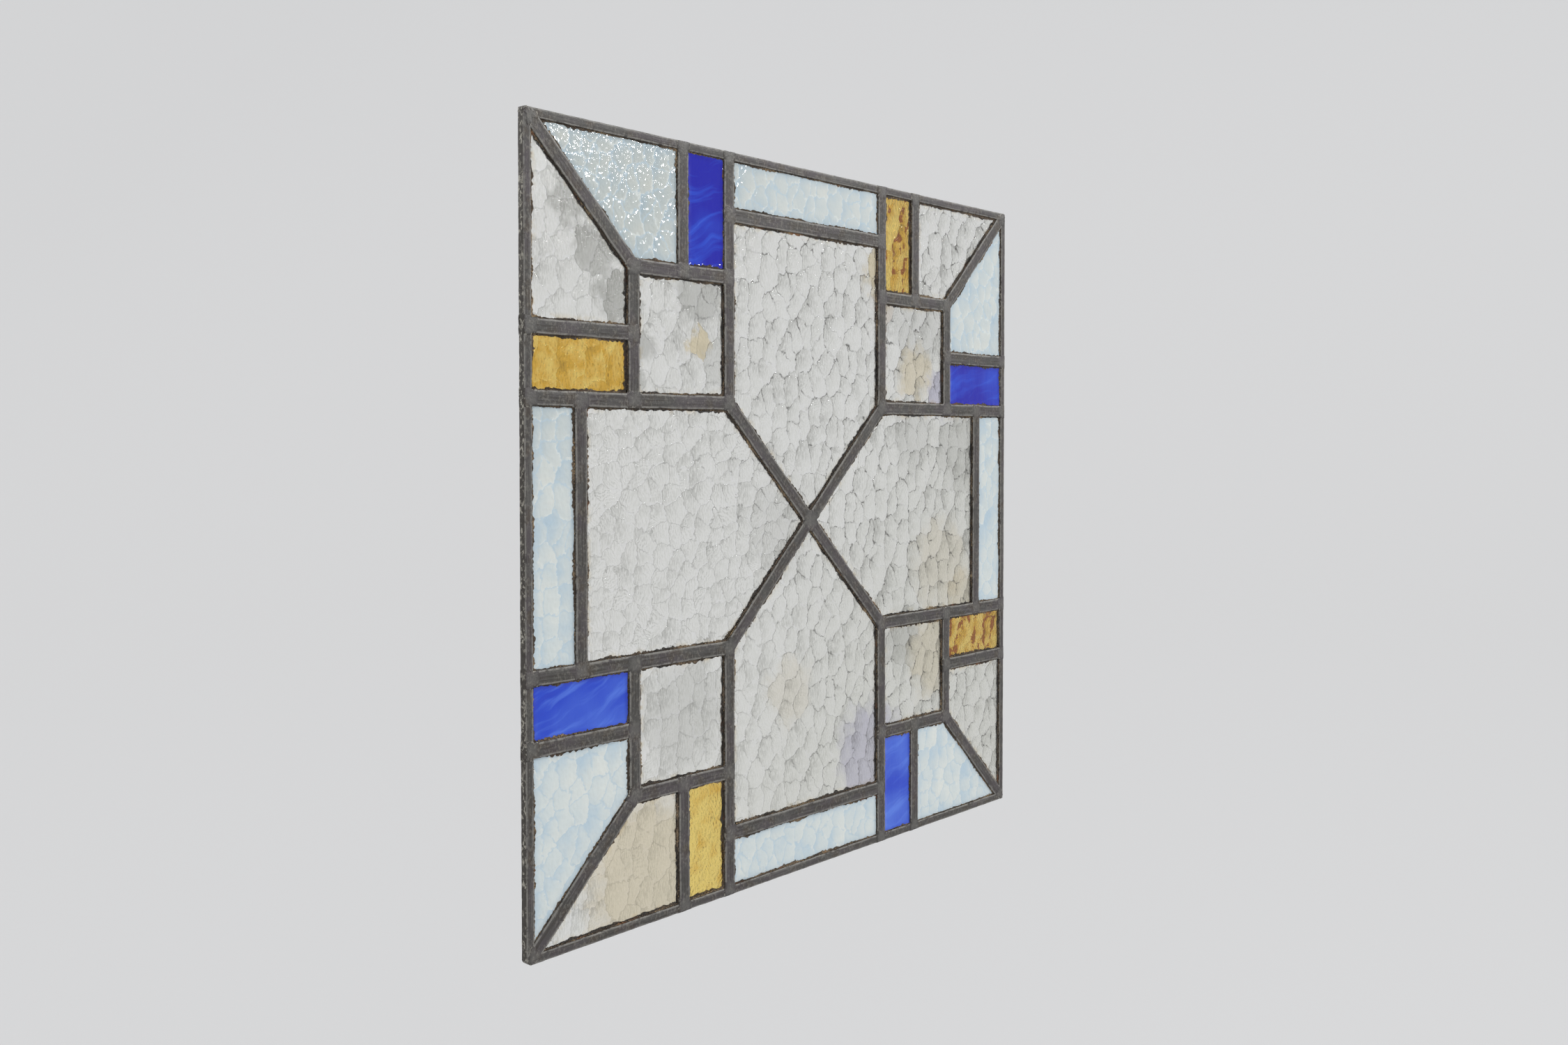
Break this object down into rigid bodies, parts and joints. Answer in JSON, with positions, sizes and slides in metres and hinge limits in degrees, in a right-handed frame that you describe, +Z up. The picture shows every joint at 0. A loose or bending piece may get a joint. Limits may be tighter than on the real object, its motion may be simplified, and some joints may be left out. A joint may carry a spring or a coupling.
{
  "type": "stained glass window",
  "caption": "Square leaded glass window panel with a geometric pattern of clear, opal, blue and amber panes in lead cames, made to be set in a frame.",
  "frame": {"origin": "middle of the bottom edge, on the underside of the bottom border came and halfway through its thickness", "axes": "+X to the right as the front is seen, +Y from the front face to the back face, +Z up"},
  "size_m": [0.5, 0.006, 0.5],
  "materials": {
    "lead": "dull grey-brown patina on drawn lead",
    "clear_glass": "clear hammered glass",
    "opal_glass": "milky pale blue hammered glass",
    "blue_glass": "streaky cobalt blue glass, smooth",
    "amber_glass": "golden amber hammered glass"
  },
  "bodies": {
    "root": {"bottom_border_came": "lead", "bottom_left_bar_came_flat": "lead", "bottom_left_bar_came_side": "lead", "bottom_left_bar_flat": "amber_glass", "bottom_left_bar_side": "blue_glass", "bottom_left_cross_came_flat": "lead", "bottom_left_cross_came_side": "lead", "bottom_left_fork_came": "lead", "bottom_left_square": "clear_glass", "bottom_left_trapezoid_flat": "clear_glass", "bottom_left_trapezoid_side": "opal_glass", "bottom_pentagon": "clear_glass", "bottom_right_bar_came_flat": "lead", "bottom_right_bar_came_side": "lead", "bottom_right_bar_flat": "blue_glass", "bottom_right_bar_side": "amber_glass", "bottom_right_cross_came_flat": "lead", "bottom_right_cross_came_side": "lead", "bottom_right_fork_came": "lead", "bottom_right_square": "clear_glass", "bottom_right_trapezoid_flat": "opal_glass", "bottom_right_trapezoid_side": "clear_glass", "bottom_strip": "opal_glass", "bottom_strip_came": "lead", "falling_diagonal_came_lower": "lead", "falling_diagonal_came_upper": "lead", "left_border_came": "lead", "left_pentagon": "clear_glass", "left_strip": "opal_glass", "left_strip_came": "lead", "right_border_came": "lead", "right_pentagon": "clear_glass", "right_strip": "opal_glass", "right_strip_came": "lead", "rising_diagonal_came": "lead", "top_border_came": "lead", "top_left_bar_came_flat": "lead", "top_left_bar_came_side": "lead", "top_left_bar_flat": "blue_glass", "top_left_bar_side": "amber_glass", "top_left_cross_came_flat": "lead", "top_left_cross_came_side": "lead", "top_left_fork_came": "lead", "top_left_square": "clear_glass", "top_left_trapezoid_flat": "opal_glass", "top_left_trapezoid_side": "clear_glass", "top_pentagon": "clear_glass", "top_right_bar_came_flat": "lead", "top_right_bar_came_side": "lead", "top_right_bar_flat": "amber_glass", "top_right_bar_side": "blue_glass", "top_right_cross_came_flat": "lead", "top_right_cross_came_side": "lead", "top_right_fork_came": "lead", "top_right_square": "clear_glass", "top_right_trapezoid_flat": "clear_glass", "top_right_trapezoid_side": "opal_glass", "top_strip": "opal_glass", "top_strip_came": "lead"}
  },
  "joints": []
}
